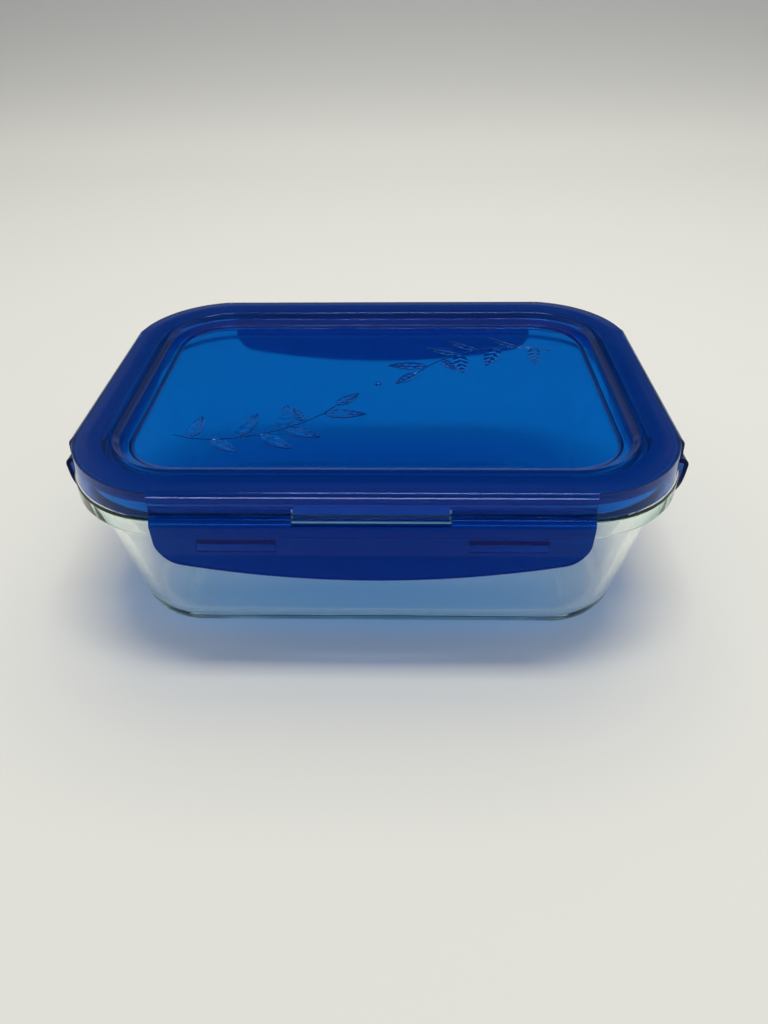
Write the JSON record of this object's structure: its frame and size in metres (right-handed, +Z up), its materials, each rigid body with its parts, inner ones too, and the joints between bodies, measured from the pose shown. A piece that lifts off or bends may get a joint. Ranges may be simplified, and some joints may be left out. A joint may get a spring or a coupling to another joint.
{
  "type": "rectangular glass food container with snap lid",
  "caption": "Rectangular clear glass food container with a translucent blue snap lid, a silicone seal and fold-down lock flaps.",
  "frame": {"origin": "middle of the underside, on the surface that the container stands on", "axes": "X along the long sides, +Z up, the front flap faces -Y"},
  "size_m": [0.2084, 0.1554, 0.072],
  "materials": {
    "clear_glass": "clear pressed tempered glass",
    "blue_lid": "translucent blue polypropylene, satin frame and glossy panel",
    "silicone": "dark blue silicone",
    "blue_flap": "translucent blue polypropylene, glossy",
    "blue_web": "thin translucent blue polypropylene"
  },
  "bodies": {
    "dish": {"glass_dish": "clear_glass"},
    "lid_moulding": {"lid": "blue_lid", "lid_seal": "silicone", "front_hinge_webs": "blue_web", "back_hinge_webs": "blue_web", "left_hinge_webs": "blue_web", "right_hinge_webs": "blue_web"},
    "front_lock": {"front_flap": "blue_flap", "front_catches": "blue_flap"},
    "back_lock": {"back_flap": "blue_flap", "back_catches": "blue_flap"},
    "left_lock": {"left_flap": "blue_flap", "left_catches": "blue_flap"},
    "right_lock": {"right_flap": "blue_flap", "right_catches": "blue_flap"}
  },
  "joints": [
    {"name": "lid_lift", "type": "slide", "parent": "dish", "child": "lid_moulding", "axis": [0, 0, 1], "range_m": [0, 0.12]},
    {"name": "front_flap_hinge", "type": "hinge", "parent": "lid_moulding", "child": "front_lock", "pos_m": [0, -0.07468, 0.0652], "axis": [-1, 0, 0], "range_deg": [0, 120]},
    {"name": "back_flap_hinge", "type": "hinge", "parent": "lid_moulding", "child": "back_lock", "pos_m": [0, 0.07468, 0.0652], "axis": [1, 0, 0], "range_deg": [0, 120]},
    {"name": "left_flap_hinge", "type": "hinge", "parent": "lid_moulding", "child": "left_lock", "pos_m": [-0.10118, 0, 0.0652], "axis": [0, 1, 0], "range_deg": [0, 120]},
    {"name": "right_flap_hinge", "type": "hinge", "parent": "lid_moulding", "child": "right_lock", "pos_m": [0.10118, 0, 0.0652], "axis": [0, -1, 0], "range_deg": [0, 120]}
  ]
}
